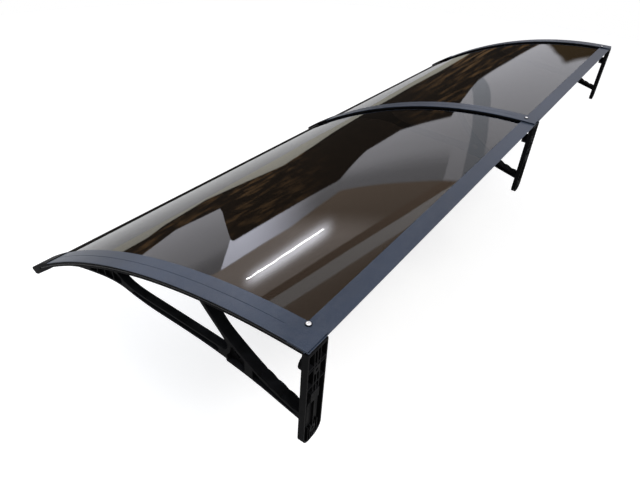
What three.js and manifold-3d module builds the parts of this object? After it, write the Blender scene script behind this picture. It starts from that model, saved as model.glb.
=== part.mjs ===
// Door canopy: two smoked polycarbonate sheets on three moulded wall brackets, with clamping strips and bars.
// Millimetres. X runs along the wall, Y points into the wall (wall face at Y = 0), Z points up.
// The canopy projects to -Y. The origin is the middle of the centre bracket's wall plate.
import * as THREE from "three";
import { mergeVertices } from "three/addons/utils/BufferGeometryUtils.js";
import Module from "manifold-3d";

const wasm = await Module();
wasm.setup();

// Driving dimensions
const BAY_PITCH = 1400; // bracket to bracket, centre to centre
const BRACKET_WIDTH = 65; // along the wall
const CANOPY_DEPTH = 1008; // wall face to nose tip
const TOP_Z = 150; // top of the clamping strips at the wall, above the origin
const ARCH_RADIUS = 1670; // of the clamping strips' top face
const ARCH_CROWN = 35; // how far out from the wall the arch is level
const ARC_STEPS = 28; // facets along the arch, shared by all nested pieces
const SEAT = 0.3; // gap between pieces that touch

// Layers under the top face of the clamping strips, measured along the arch radius
const STRIP_THICKNESS = 2;
const SHEET_TOP = -8.1;
const SHEET_THICKNESS = 3;
const ARM_TOP = SHEET_TOP - SHEET_THICKNESS - SEAT;
const ARM_THICKNESS = 3.2;
const KEEL_DEPTH = 14;
const KEEL_TAPER_START = 750;
const ARM_BOTTOM = ARM_TOP - ARM_THICKNESS;
const KEEL_BOTTOM = ARM_BOTTOM - KEEL_DEPTH;

// Distances out from the wall
const STRIP_START = 3;
const SHEET_START = 13;
const WALL_BAR_WIDTH = 52;
const SCREW_OUT = 43;
const NOSE_START = 905;
const NOSE_TOP = 2.2; // the nose cap stands this much above the strips
const FRONT_EDGE = 961;

// Bars along the sheets' wall and front edges
const WALL_BAR_TOP = -5;
const WALL_BAR_WALL = 1.6;
const WALL_BAR_LIP = 32;
const JOINT_HALF_GAP = 5; // sheets and wall bars stop this far from the middle bracket's centre
const FRONT_BAR_TOP = -3.3;
const FRONT_BAR_LIP = 11;
const FRONT_BAR_WALL = 1.6;
const FRONT_BAR_SKIRT = 7;

// Wall plate of a bracket, heights from the origin
const PLATE_THICKNESS = 15;
const PLATE_SKIN = 4;
const PLATE_RIM = 4;
const PLATE_BOTTOM = -142;
const PLATE_CORNER = 26;
const UPPER_HOLE_Z = 76;
const LOWER_HOLE_Z = -108;
const PLATE_CROSS_RIBS = [94, 86, 40]; // heights of the full-width ribs
const PLATE_FLAT_START = -12;
const PLATE_FLAT_END = -92;
const BOLT_HOLE_RADIUS = 4.5;
const BOSS_RADIUS = 17;
const BOSS_OUT = 34;

// Struts of a bracket
const STRUT_WIDTH = 21;
const STRUT_FOOT_WIDTH = 29;
const STRUT_HEIGHT = 21;
const STRUT_RIM = 5;
const WEB = 5;
const POCKET_END_RADIUS = 6;
const SCALLOPS = 4;
const SCALLOPS_END = 135;
const SCALLOP_DEPTH = 4;

const SCREW_RADIUS = 2.1;
const WASHER_RADIUS = 7.5;
const END_SCREW_INSET = 7; // end brackets: screw centre from the strip's inner edge

const colours = {
  plastic: { color: 0x101113, roughness: 0.55, metalness: 0 },
  coated: { color: 0x4a5362, roughness: 0.42, metalness: 0.65 },
  blackBar: { color: 0x0b0b0d, roughness: 0.4, metalness: 0.5 },
  sheet: { color: 0x3b2f27, roughness: 0.06, metalness: 0, transparent: true, opacity: 0.72 },
  rubber: { color: 0x08080a, roughness: 0.8, metalness: 0 },
  steel: { color: 0xe6e8ec, roughness: 0.25, metalness: 0.9 },
};

// Solids

function toSolid(geometry) {
  const bare = geometry.clone();
  bare.deleteAttribute("normal");
  bare.deleteAttribute("uv");
  const merged = mergeVertices(bare, 1e-4);
  return new wasm.Manifold(
    new wasm.Mesh({
      numProp: 3,
      vertProperties: new Float32Array(merged.attributes.position.array),
      triVerts: new Uint32Array(merged.index.array),
    }),
  );
}

function toGeometry(solid) {
  const mesh = solid.getMesh();
  const count = mesh.numProp;
  const position = new Float32Array((mesh.vertProperties.length / count) * 3);
  for (let i = 0; i < position.length / 3; i++) {
    position.set(mesh.vertProperties.subarray(i * count, i * count + 3), i * 3);
  }
  const geometry = new THREE.BufferGeometry();
  geometry.setAttribute("position", new THREE.BufferAttribute(position, 3));
  geometry.setIndex(new THREE.BufferAttribute(new Uint32Array(mesh.triVerts), 1));
  geometry.computeVertexNormals();
  return geometry;
}

const union = (first, ...rest) => rest.reduce((sum, solid) => sum.add(solid), first);
const cut = (solid, ...tools) => tools.reduce((left, tool) => left.subtract(tool), solid);

// An outline drawn as (distance out from the wall, height) and drawn out along X from left to right.
const ACROSS = new THREE.Matrix4().makeBasis(
  new THREE.Vector3(0, -1, 0),
  new THREE.Vector3(0, 0, 1),
  new THREE.Vector3(-1, 0, 0),
);

function across(outline, left, right, curveSegments = 8) {
  const shape = outline instanceof THREE.Shape ? outline : new THREE.Shape(outline);
  const options = { depth: right - left, bevelEnabled: false, curveSegments };
  const geometry = new THREE.ExtrudeGeometry(shape, options);
  geometry.applyMatrix4(ACROSS);
  geometry.translate(right, 0, 0);
  return toSolid(geometry);
}

// An outline drawn as seen from the wall, (x, height), and drawn out from the wall.
function outward(outline, start, end, curveSegments = 8) {
  const shape = outline instanceof THREE.Shape ? outline : new THREE.Shape(outline);
  const options = { depth: end - start, bevelEnabled: false, curveSegments };
  const geometry = new THREE.ExtrudeGeometry(shape, options);
  geometry.rotateX(Math.PI / 2);
  geometry.translate(0, -start, 0);
  return toSolid(geometry);
}

function block(left, right, start, end, bottom, top) {
  const geometry = new THREE.BoxGeometry(right - left, end - start, top - bottom);
  geometry.translate((left + right) / 2, -(start + end) / 2, (bottom + top) / 2);
  return toSolid(geometry);
}

function upright(radius, bottom, top, x, out, segments = 20) {
  const geometry = new THREE.CylinderGeometry(radius, radius, top - bottom, segments);
  geometry.rotateX(Math.PI / 2);
  geometry.translate(x, -out, (bottom + top) / 2);
  return toSolid(geometry);
}

function wallward(radius, start, end, x, z, segments = 18) {
  const geometry = new THREE.CylinderGeometry(radius, radius, end - start, segments);
  geometry.translate(x, -(start + end) / 2, z);
  return toSolid(geometry);
}

// The arch: level from the wall to its crown, then one circular arc. Offsets are measured upwards from the
// top face of the clamping strips.

function archAngle(out, offset = 0) {
  return Math.asin((out - ARCH_CROWN) / (ARCH_RADIUS + offset));
}

function archPoint(angle, offset) {
  const radius = ARCH_RADIUS + offset;
  const out = ARCH_CROWN + radius * Math.sin(angle);
  const drop = angle > 0 ? radius * (1 - Math.cos(angle)) : 0;
  return new THREE.Vector2(out, TOP_Z + offset - drop);
}

function archHeight(out, offset = 0) {
  return archPoint(archAngle(out, offset), offset).y;
}

// Angles of the shared facets between two distances out, with the two ends themselves.
function archAngles(startOut, endOut) {
  const step = archAngle(CANOPY_DEPTH) / ARC_STEPS;
  const start = archAngle(startOut);
  const end = archAngle(endOut);
  const inner = [];
  for (let i = 0; i < ARC_STEPS; i++) {
    const angle = i * step;
    if (angle > start + step / 20 && angle < end - step / 20) inner.push(angle);
  }
  return [start, ...inner, end];
}

function archLine(startOut, endOut, offset) {
  return archAngles(startOut, endOut).map((angle) => archPoint(angle, offset));
}

function archBand(startOut, endOut, top, bottom) {
  const upper = archLine(startOut, endOut, top);
  const lower = archLine(startOut, endOut, bottom).reverse();
  return [...upper, ...lower];
}

// Bracket

const half = BRACKET_WIDTH / 2;
const spline = (points, count) =>
  new THREE.SplineCurve(points.map(([out, z]) => new THREE.Vector2(out, z))).getPoints(count);

// Under edge of the lower strut, from the wall plate out to where it runs into the arm.
const strutUnder = spline(
  [
    [PLATE_THICKNESS - 1, -88],
    [63, -76.5],
    [134, -59.5],
    [207, -48],
    [300, -39],
    [395, -36],
    [479, -35],
    [540, -29],
    [588, -22],
    [640, -25],
    [700, -37],
    [771, -55],
    [820, -72],
    [870, -94],
  ],
  40,
);

// Upper edge from the wall plate along the strut's foot, then up the inner strut to the arm.
const strutWallSide = spline(
  [
    [PLATE_THICKNESS - 1, -70],
    [49, -61],
    [80, -50.5],
    [108, -40],
    [140, -25],
    [184, 2],
    [232, 35.5],
    [256, 59.6],
    [304, 114],
  ],
  48,
);

// Edge of the opening under the arm: down the inner strut, round the fillet, out along the lower strut.
const openingEdge = spline(
  [
    [320, 114],
    [275.5, 66.3],
    [238, 26],
    [223, 3],
    [241, -16.5],
    [300, -16.6],
    [400, -14.5],
    [495, -13],
    [545, -9],
    [578, 1],
    [600, 18],
  ],
  38,
);

function platePoints(inset) {
  const side = half - inset;
  const radius = PLATE_CORNER - inset;
  const bottom = PLATE_BOTTOM + inset;
  const shape = new THREE.Shape();
  shape.moveTo(-side, archHeight(0, ARM_BOTTOM) - inset);
  shape.lineTo(-side, bottom + radius);
  shape.absarc(-side + radius, bottom + radius, radius, Math.PI, 1.5 * Math.PI, false);
  shape.lineTo(side - radius, bottom);
  shape.absarc(side - radius, bottom + radius, radius, 1.5 * Math.PI, 2 * Math.PI, false);
  shape.lineTo(side, archHeight(0, ARM_BOTTOM) - inset);
  return shape;
}

// A straight rib inside the wall plate, from one point to another as seen from the wall.
function plateRib([x0, z0], [x1, z1], thickness = 3) {
  const along = new THREE.Vector2(x1 - x0, z1 - z0).normalize().multiplyScalar(thickness / 2);
  const outline = [
    new THREE.Vector2(x0 - along.y, z0 + along.x),
    new THREE.Vector2(x1 - along.y, z1 + along.x),
    new THREE.Vector2(x1 + along.y, z1 - along.x),
    new THREE.Vector2(x0 + along.y, z0 - along.x),
  ].reverse();
  return outward(outline, 0, PLATE_THICKNESS - PLATE_SKIN + 1);
}

// Wall plate: a tongue with a rim, ribs and bolt bosses on its wall side.
function wallPlate() {
  const body = outward(platePoints(0), 0, PLATE_THICKNESS, 6);
  const hollow = outward(platePoints(PLATE_RIM), -1, PLATE_THICKNESS - PLATE_SKIN, 6);
  const edge = half - PLATE_RIM + 1;
  const top = archHeight(0, ARM_BOTTOM) - 2;
  const floor = PLATE_THICKNESS - PLATE_SKIN + 1;
  const ribs = [
    ...PLATE_CROSS_RIBS.map((z) => plateRib([-edge, z], [edge, z], 2.4)),
    ...[-1, 1].map((side) => plateRib([side * 10, 20], [side * 10, top], 2.4)),
    plateRib([0, PLATE_BOTTOM + 2], [0, top], 2.4),
    ...[-2, -1, 1, 2].map((step) => plateRib([step * 8, PLATE_FLAT_END], [step * 8, PLATE_BOTTOM + 6], 2)),
    outward(plateFlat(), 5, floor, 6),
    outward(centrePad(), 0, floor),
    wallward(11, 0, PLATE_THICKNESS - 1, 0, UPPER_HOLE_Z),
    wallward(10, 0, PLATE_THICKNESS - 1, 0, LOWER_HOLE_Z),
  ];
  return union(cut(body, hollow), ...ribs);
}

// Smooth raised panel in the plate's lower half, rounded at its top.
function plateFlat() {
  const side = 19;
  const shape = new THREE.Shape();
  shape.moveTo(-side, PLATE_FLAT_END);
  shape.lineTo(side, PLATE_FLAT_END);
  shape.lineTo(side, PLATE_FLAT_START - side);
  shape.absarc(0, PLATE_FLAT_START - side, side, 0, Math.PI, false);
  shape.lineTo(-side, PLATE_FLAT_END);
  return shape;
}

function centrePad() {
  const size = 14;
  return [
    new THREE.Vector2(-size, -size),
    new THREE.Vector2(size, -size),
    new THREE.Vector2(size, size),
    new THREE.Vector2(-size, size),
  ];
}

// Arm: a wide flange that carries the sheets, over a keel of two rails with cross ribs.
function arm(isMiddle) {
  const flange = across(archBand(0, NOSE_START, ARM_TOP, ARM_BOTTOM), -half, half);
  const tongue = across(archBand(NOSE_START - 10, FRONT_EDGE - 12, ARM_TOP - 1, ARM_BOTTOM), -15, 15);
  const keelEnd = NOSE_START - 22;
  const keelLine = [
    ...archLine(PLATE_THICKNESS - 2, keelEnd, ARM_BOTTOM + 1),
    archPoint(archAngle(keelEnd), ARM_BOTTOM - 2),
    ...archLine(PLATE_THICKNESS - 2, KEEL_TAPER_START, KEEL_BOTTOM).reverse(),
  ];
  const rail = STRUT_FOOT_WIDTH / 2;
  const rails = [across(keelLine, -rail, -rail + 4), across(keelLine, rail - 4, rail)];
  const ribs = [];
  for (let out = 60; out < KEEL_TAPER_START; out += 65) {
    const band = [
      archPoint(archAngle(out), ARM_BOTTOM + 1),
      archPoint(archAngle(out + 3), ARM_BOTTOM + 1),
      archPoint(archAngle(out + 3), KEEL_BOTTOM + 2),
      archPoint(archAngle(out), KEEL_BOTTOM + 2),
    ];
    ribs.push(across(band, -rail + 1, rail - 1));
  }
  const parts = [flange, tongue, ...rails, ...ribs];
  if (isMiddle) {
    const bead = archBand(0, NOSE_START - 2, -STRIP_THICKNESS - SEAT, ARM_TOP - 1);
    parts.push(across(bead, -4, 4));
  }
  return union(...parts);
}

const raised = (line, height) => line.map((p) => new THREE.Vector2(p.x, p.y + height));
const between = (line, start, end) => line.filter((p) => p.x > start && p.x < end);

// Height of a line at a distance out from the wall.
function heightAt(line, out) {
  const next = line.findIndex((p) => p.x >= out);
  const a = line[next - 1];
  const b = line[next];
  return a.y + ((b.y - a.y) * (out - a.x)) / (b.x - a.x);
}

// The foot's upper face is worked into shallow scallops between the wall plate and the knuckle.
function scallopedWallSide() {
  return strutWallSide.map((p) => {
    if (p.x > SCALLOPS_END) return p;
    const turn = (Math.PI * SCALLOPS * (p.x - PLATE_THICKNESS)) / (SCALLOPS_END - PLATE_THICKNESS);
    return new THREE.Vector2(p.x, p.y + SCALLOP_DEPTH * (Math.abs(Math.sin(turn)) - 0.5));
  });
}

// Foot, knuckle and inner strut in one outline.
function rearOutline() {
  const under = between(strutUnder, 0, 240);
  const inner = openingEdge.slice(0, openingEdge.findIndex((p) => p.y < -16));
  return [...under, ...inner.reverse(), ...scallopedWallSide().reverse()];
}

function frontOutline() {
  const under = between(strutUnder, 150, 1000);
  const last = under[under.length - 1];
  const upper = openingEdge.slice(openingEdge.findIndex((p) => p.y < -16));
  const keel = archLine(600, last.x, ARM_BOTTOM + 1).reverse();
  return [...under, ...keel, ...upper.reverse(), new THREE.Vector2(200, -20)];
}

// Long side pocket of the lower strut, with a round end at the knuckle.
function strutPocket() {
  const start = 252;
  const end = 548;
  const lower = raised(between(strutUnder, start, end), STRUT_RIM);
  const upper = raised(between(openingEdge, start, end), -STRUT_RIM).filter((p) => p.y < 0);
  const middle = new THREE.Vector2().addVectors(lower[0], upper[0]).multiplyScalar(0.5);
  const rounding = [60, 30, 0, -30, -60].map((degrees) => {
    const angle = Math.PI + THREE.MathUtils.degToRad(degrees);
    const out = middle.x + POCKET_END_RADIUS * Math.cos(angle);
    return new THREE.Vector2(out, middle.y - POCKET_END_RADIUS * 0.8 * Math.sin(angle));
  });
  return [...lower, ...upper.reverse(), ...rounding];
}

// Side pocket of the foot, between the lower rim and the scalloped face.
function footPocket() {
  const lower = raised(between(strutUnder, 26, 160), STRUT_RIM);
  const upper = raised(between(strutWallSide, 26, 160), -STRUT_RIM - SCALLOP_DEPTH / 2);
  return [...lower, ...upper.reverse()];
}

// Side recess of the knuckle, a triangle between the three strut ends.
const knuckleRecess = [
  [176, -46],
  [224, -40],
  [228, -26],
  [217, -10],
  [215, 6],
  [210, 10],
  [176, -12],
].map(([out, z]) => new THREE.Vector2(out, z));

// Small window through the knuckle's web.
const knuckleWindow = [
  [191, -16],
  [206, -6],
  [213, -9],
  [216, -18],
  [203, -31],
  [196, -26],
].map(([out, z]) => new THREE.Vector2(out, z));

// Gusset pockets between arm and strut, parted by thin ribs.
function gussetPockets() {
  const pitch = 34;
  const width = 30;
  const pockets = [];
  for (let out = 586; out < 700; out += pitch) {
    const end = out + width;
    const first = out < 600 ? 4 : archHeight(out, KEEL_BOTTOM) - 3;
    const corners = [
      [out, heightAt(strutUnder, out) + STRUT_RIM],
      [end, heightAt(strutUnder, end) + STRUT_RIM],
      [end, archHeight(end, KEEL_BOTTOM) - 3],
      [out, first],
    ];
    pockets.push(corners.map(([u, z]) => new THREE.Vector2(u, z)));
  }
  return pockets;
}

// Lower strut, inner strut and the gusset where they meet the arm: webs with rims, pocketed from both sides.
function struts() {
  const side = STRUT_WIDTH / 2;
  const foot = STRUT_FOOT_WIDTH / 2;
  const body = union(across(frontOutline(), -side, side), across(rearOutline(), -foot, foot));
  const pockets = [strutPocket(), footPocket(), knuckleRecess, ...gussetPockets()];
  const near = pockets.map((outline) => across(outline, WEB / 2, foot + 1));
  const far = pockets.map((outline) => across(outline, -foot - 1, -WEB / 2));
  return cut(body, ...near, ...far, across(knuckleWindow, -WEB, WEB));
}

function bracket(isMiddle, screwX) {
  const boss = wallward(BOSS_RADIUS, PLATE_THICKNESS - 1, BOSS_OUT, 0, UPPER_HOLE_Z, 20);
  const holes = [
    wallward(BOLT_HOLE_RADIUS, -1, BOSS_OUT + 1, 0, UPPER_HOLE_Z, 16),
    wallward(BOLT_HOLE_RADIUS, -1, PLATE_THICKNESS + 1, 0, LOWER_HOLE_Z, 16),
    wallward(9, BOSS_OUT - 7, BOSS_OUT + 1, 0, UPPER_HOLE_Z, 16),
    upright(SCREW_RADIUS + SEAT, TOP_Z - 60, TOP_Z + 5, screwX, SCREW_OUT, 12),
  ];
  return cut(union(wallPlate(), arm(isMiddle), struts(), boss), ...holes);
}

// Clamping strip: arched flat bar with a fine centre groove that stops short of the wall end.
function clampingStrip(screwX) {
  const body = across(archBand(STRIP_START, NOSE_START - SEAT, 0, -STRIP_THICKNESS), -half, half);
  const groove = across(archBand(78, NOSE_START + 5, 1, -0.7), -0.8, 0.8);
  const hole = upright(SCREW_RADIUS + SEAT, TOP_Z - 10, TOP_Z + 10, screwX, SCREW_OUT, 12);
  return cut(body, groove, hole);
}

// Sealing strip under one edge of a clamping strip: thin over the wall bar, deep over the sheet.
function edgeSeal(side, screwX) {
  const step = WALL_BAR_WIDTH + 1.5;
  const top = -STRIP_THICKNESS - SEAT;
  const upper = archLine(STRIP_START, NOSE_START - 1, top);
  const deep = archLine(step, NOSE_START - 1, SHEET_TOP + SEAT).reverse();
  const thin = archLine(STRIP_START, step, WALL_BAR_TOP + SEAT).reverse();
  const width = 10;
  const left = side < 0 ? -half + 0.6 : half - 0.6 - width;
  const body = across([...upper, ...deep, ...thin], left, left + width);
  return cut(body, upright(SCREW_RADIUS + SEAT, TOP_Z - 20, TOP_Z + 10, screwX, SCREW_OUT, 12));
}

// Nose cap: a clip over the arm's end, with a slot for the sheets' front corners.
function noseCap() {
  const tip = archPoint(archAngle(CANOPY_DEPTH), 0);
  const slotEnd = archAngle(FRONT_EDGE + 2);
  const top = archLine(NOSE_START + SEAT, CANOPY_DEPTH - 5, NOSE_TOP);
  const bottomFront = archPoint(archAngle(CANOPY_DEPTH - 14), -24);
  const bottomBack = archPoint(archAngle(NOSE_START + SEAT), -18);
  const nose = archPoint(archAngle(CANOPY_DEPTH - 3), -19);
  const outline = [
    ...top,
    archPoint(archAngle(tip.x), -1.5),
    nose,
    bottomFront,
    bottomBack,
    archPoint(archAngle(NOSE_START + SEAT), SHEET_TOP - SHEET_THICKNESS - SEAT),
    archPoint(slotEnd, SHEET_TOP - SHEET_THICKNESS - SEAT),
    archPoint(slotEnd, SHEET_TOP + SEAT),
    archPoint(archAngle(NOSE_START + SEAT), SHEET_TOP + SEAT),
  ];
  const body = across(outline, -half, half);
  const tongue = archBand(NOSE_START - 5, FRONT_EDGE - 12 + 1, ARM_TOP + 2, ARM_BOTTOM - SEAT);
  const sideLine = archBand(NOSE_START + 12, CANOPY_DEPTH - 18, ARM_BOTTOM - 0.6, ARM_BOTTOM - 1.8);
  const lines = [across(sideLine, -half - 1, -half + 0.8), across(sideLine, half - 0.8, half + 1)];
  return cut(body, across(tongue, -15 - SEAT, 15 + SEAT), ...lines);
}

// Sheets and bars of one bay. left and right are the sheet's ends along X.

function notchAtBrackets(centres, bottom) {
  return centres.map((x) => {
    return block(x - half - 1, x + half + 1, -2, WALL_BAR_WIDTH + 5, TOP_Z - 60, TOP_Z + bottom);
  });
}

function sheet(left, right, screws) {
  const band = archBand(SHEET_START, FRONT_EDGE - 2.5, SHEET_TOP, SHEET_TOP - SHEET_THICKNESS);
  return cut(across(band, left, right), ...screwHoles(screws));
}

function screwHoles(screws) {
  return screws.map((x) => upright(SCREW_RADIUS + 0.6, TOP_Z - 30, TOP_Z + 10, x, SCREW_OUT, 12));
}

// Rear bar: a flat flange over the sheet's wall edge, with a web and a lip that close round that edge.
function wallBar(left, right, centres, screws) {
  const top = TOP_Z + WALL_BAR_TOP;
  const flange = top - WALL_BAR_WALL;
  const lip = TOP_Z + SHEET_TOP - SHEET_THICKNESS - 0.9;
  const web = SHEET_START - 0.6;
  const outline = [
    [0.5, top],
    [WALL_BAR_WIDTH - 1.2, top],
    [WALL_BAR_WIDTH, top - 1],
    [WALL_BAR_WIDTH, flange - 0.6],
    [WALL_BAR_WIDTH - 1.4, flange - 0.6],
    [WALL_BAR_WIDTH - 1.4, flange],
    [web, flange],
    [web, lip],
    [WALL_BAR_LIP, lip],
    [WALL_BAR_LIP, lip - WALL_BAR_WALL],
    [web - WALL_BAR_WALL, lip - WALL_BAR_WALL],
    [web - WALL_BAR_WALL, flange],
    [0.5, flange],
  ].map(([out, z]) => new THREE.Vector2(out, z));
  const notches = notchAtBrackets(centres, ARM_TOP + 0.2);
  return cut(across(outline, left, right), ...notches, ...screwHoles(screws));
}

// Rubber lip that closes the gap between the rear bar's front edge and the sheet.
function wallSeal(left, right) {
  const top = TOP_Z + WALL_BAR_TOP - WALL_BAR_WALL - SEAT;
  const low = TOP_Z + SHEET_TOP + 0.2;
  const end = WALL_BAR_WIDTH - 1.4 - SEAT;
  return block(left, right, end - 5, end, low, top);
}

// Front bar: a channel that grips the sheet's front edge, with a drip lip below.
function frontBar(left, right) {
  const gap = SHEET_TOP + SEAT;
  const low = SHEET_TOP - SHEET_THICKNESS - SEAT;
  const foot = low - FRONT_BAR_WALL;
  const back = archAngle(FRONT_EDGE - FRONT_BAR_LIP);
  const inner = archAngle(FRONT_EDGE - FRONT_BAR_WALL);
  const front = archAngle(FRONT_EDGE);
  const rounding = archAngle(FRONT_EDGE - 1.5);
  const outline = [
    archPoint(back, FRONT_BAR_TOP - 0.8),
    archPoint(archAngle(FRONT_EDGE - FRONT_BAR_LIP + 1), FRONT_BAR_TOP),
    archPoint(rounding, FRONT_BAR_TOP),
    archPoint(front, FRONT_BAR_TOP - 1.5),
    archPoint(front, low - FRONT_BAR_SKIRT),
    archPoint(inner, low - FRONT_BAR_SKIRT),
    archPoint(inner, foot),
    archPoint(back, foot),
    archPoint(back, low),
    archPoint(inner, low),
    archPoint(inner, gap),
    archPoint(back, gap),
  ];
  return across(outline, left, right);
}

// Screw: pan head with a cross recess over a plain shank.
function screw(x) {
  const headRadius = 5.6;
  const shankEnd = TOP_Z - 26;
  const seat = TOP_Z + 1.9;
  const profile = [
    [0, shankEnd - 4],
    [SCREW_RADIUS, shankEnd],
    [SCREW_RADIUS, seat],
    [headRadius, seat],
    [headRadius, seat + 1],
    [headRadius * 0.86, seat + 2],
    [headRadius * 0.5, seat + 2.8],
    [0, seat + 3],
  ].map(([radius, z]) => new THREE.Vector2(radius, z));
  const lathe = new THREE.LatheGeometry(profile, 16);
  lathe.rotateX(Math.PI / 2);
  lathe.translate(x, -SCREW_OUT, 0);
  const recess = [
    block(x - 1.9, x + 1.9, SCREW_OUT - 0.5, SCREW_OUT + 0.5, seat + 1.2, seat + 5),
    block(x - 0.5, x + 0.5, SCREW_OUT - 1.9, SCREW_OUT + 1.9, seat + 1.2, seat + 5),
  ];
  return cut(toSolid(lathe), ...recess);
}

function washer(x) {
  const bottom = archHeight(SCREW_OUT) + SEAT;
  const body = upright(WASHER_RADIUS, bottom, TOP_Z + 1.6, x, SCREW_OUT, 20);
  return cut(body, upright(SCREW_RADIUS + SEAT, TOP_Z - 5, TOP_Z + 5, x, SCREW_OUT, 12));
}

// Assembly

const canopy = new THREE.Group();

function add(parent, name, solid, finish) {
  const mesh = new THREE.Mesh(toGeometry(solid), new THREE.MeshStandardMaterial(colours[finish]));
  mesh.name = name;
  parent.add(mesh);
}

const endScrew = half - END_SCREW_INSET;
const brackets = [
  { place: "left", x: -BAY_PITCH, screwX: endScrew },
  { place: "middle", x: 0, screwX: 0 },
  { place: "right", x: BAY_PITCH, screwX: -endScrew },
];

for (const { place, x, screwX } of brackets) {
  const stand = new THREE.Group();
  stand.position.x = x;
  canopy.add(stand);
  add(stand, `bracket_${place}`, bracket(place === "middle", screwX), "plastic");
  add(stand, `clamping_strip_${place}`, clampingStrip(screwX), "coated");
  add(stand, `edge_seal_${place}_a`, edgeSeal(-1, screwX), "rubber");
  add(stand, `edge_seal_${place}_b`, edgeSeal(1, screwX), "rubber");
  add(stand, `nose_cap_${place}`, noseCap(), "plastic");
  add(stand, `screw_${place}`, screw(screwX), "steel");
  add(stand, `rubber_washer_${place}`, washer(screwX), "rubber");
}

const outerEnd = BAY_PITCH + half - 1.2;
const bays = [
  { place: "left", left: -outerEnd, right: -JOINT_HALF_GAP, ends: [-BAY_PITCH, 0] },
  { place: "right", left: JOINT_HALF_GAP, right: outerEnd, ends: [0, BAY_PITCH] },
];

for (const { place, left, right, ends } of bays) {
  const endX = Math.abs(ends[0]) > 1 ? ends[0] + endScrew : ends[1] - endScrew;
  const clear = half + 0.5;
  add(canopy, `sheet_${place}`, sheet(left, right, [endX]), "sheet");
  add(canopy, `wall_bar_${place}`, wallBar(left, right, ends, [endX]), "coated");
  add(canopy, `wall_seal_${place}`, wallSeal(ends[0] + clear, ends[1] - clear), "rubber");
  add(canopy, `front_bar_${place}`, frontBar(ends[0] + clear, ends[1] - clear), "blackBar");
}

export default canopy;
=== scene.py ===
import math

import bmesh
import bpy
from bpy.props import FloatProperty, FloatVectorProperty, IntProperty, PointerProperty
from mathutils import Matrix, Vector


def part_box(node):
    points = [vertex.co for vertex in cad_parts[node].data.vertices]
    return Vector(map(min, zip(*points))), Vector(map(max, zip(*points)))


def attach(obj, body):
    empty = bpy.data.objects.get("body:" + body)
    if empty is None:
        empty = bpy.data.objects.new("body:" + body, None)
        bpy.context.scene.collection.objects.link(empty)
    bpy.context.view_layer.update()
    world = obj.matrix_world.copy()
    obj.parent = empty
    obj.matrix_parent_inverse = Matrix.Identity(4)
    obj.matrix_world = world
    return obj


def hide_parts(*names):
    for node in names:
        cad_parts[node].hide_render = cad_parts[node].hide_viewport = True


bl_info = {
    "name": "Door canopy",
    "version": (1, 0, 0),
    "blender": (4, 5, 0),
    "location": "3D View > Sidebar > Canopy",
    "description": "Arched door canopy of smoked sheets on moulded wall brackets",
    "category": "Object",
}

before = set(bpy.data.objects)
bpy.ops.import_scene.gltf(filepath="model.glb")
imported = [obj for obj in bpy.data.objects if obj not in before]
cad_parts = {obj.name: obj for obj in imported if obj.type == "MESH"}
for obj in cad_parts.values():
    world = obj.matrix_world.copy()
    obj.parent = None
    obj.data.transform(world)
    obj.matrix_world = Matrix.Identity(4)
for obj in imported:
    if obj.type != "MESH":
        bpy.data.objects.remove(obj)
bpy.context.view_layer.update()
STRIP_LOW, STRIP_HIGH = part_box("clamping_strip_right")
SCREW_LOW, SCREW_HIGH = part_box("screw_right")
SHEET_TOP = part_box("sheet_right")[1].z
BODY = "root"
SIDES = ("left", "middle", "right")
BAYS = ("left", "right")
MM = 0.001

# Radii of rounded edges
SHEET_EDGE = 0.4 * MM
BRACKET_EDGE = 0.6 * MM
NOSE_CAP_EDGE = 1.0 * MM
BAR_EDGE = 0.3 * MM
EDGE_SEGMENTS = 2

# Clamping strips: the centre groove starts clear of the screw and deepens over a short run
GROOVE_START = 78 * MM
GROOVE_RUN = 3 * MM
GROOVE_DEPTH = 0.7 * MM
GROOVE_HALF = 0.8 * MM

# Edge seals, down from the strips' top face: thin over the wall bar, then deep enough to reach the sheet
SEAL_GAP = 0.3 * MM
SEAL_LIP = 0.8 * MM
THIN_SEAL = 4.7 * MM
SEAL_STEP_AT = 53.5 * MM
SEAL_STEP_RUN = 0.5 * MM


# Sizes and colours a user may change


class CanopySizes(bpy.types.PropertyGroup):
    """Sizes of the pieces: the frame's boxes give some, and the rest repeat the solids' own."""

    pitch: FloatProperty(
        name="Bay pitch", description="Bracket to bracket, centre to centre",
        default=(STRIP_LOW.x + STRIP_HIGH.x) / 2, unit="LENGTH",
    )
    strip_width: FloatProperty(
        name="Strip width", description="Width of the clamping strips along the wall",
        default=STRIP_HIGH.x - STRIP_LOW.x, unit="LENGTH",
    )
    strip_thickness: FloatProperty(
        name="Strip thickness", description="Thickness of the clamping strips",
        default=0.002, unit="LENGTH",
    )
    radius: FloatProperty(
        name="Arch radius", description="Radius of the clamping strips' top face",
        default=1.67, unit="LENGTH",
    )
    crown: FloatProperty(
        name="Crown", description="How far out from the wall the arch is level",
        default=0.035, unit="LENGTH",
    )
    top: FloatProperty(
        name="Top", description="Height of the strips at the wall above the origin",
        default=STRIP_HIGH.z, unit="LENGTH",
    )
    sheet_drop: FloatProperty(
        name="Sheet drop", description="Strip top down to the sheet's top face",
        default=STRIP_HIGH.z - SHEET_TOP, unit="LENGTH",
    )
    sheet_thickness: FloatProperty(
        name="Sheet thickness", description="Thickness of the smoked sheets",
        default=0.003, unit="LENGTH",
    )
    arc_steps: IntProperty(
        name="Arc steps", description="Segments along the arch of a finished piece",
        default=96, min=12, max=240,
    )
    screw_out: FloatProperty(
        name="Screw distance", description="Wall face to the screws' centres",
        default=-(SCREW_LOW.y + SCREW_HIGH.y) / 2, unit="LENGTH",
    )


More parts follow.
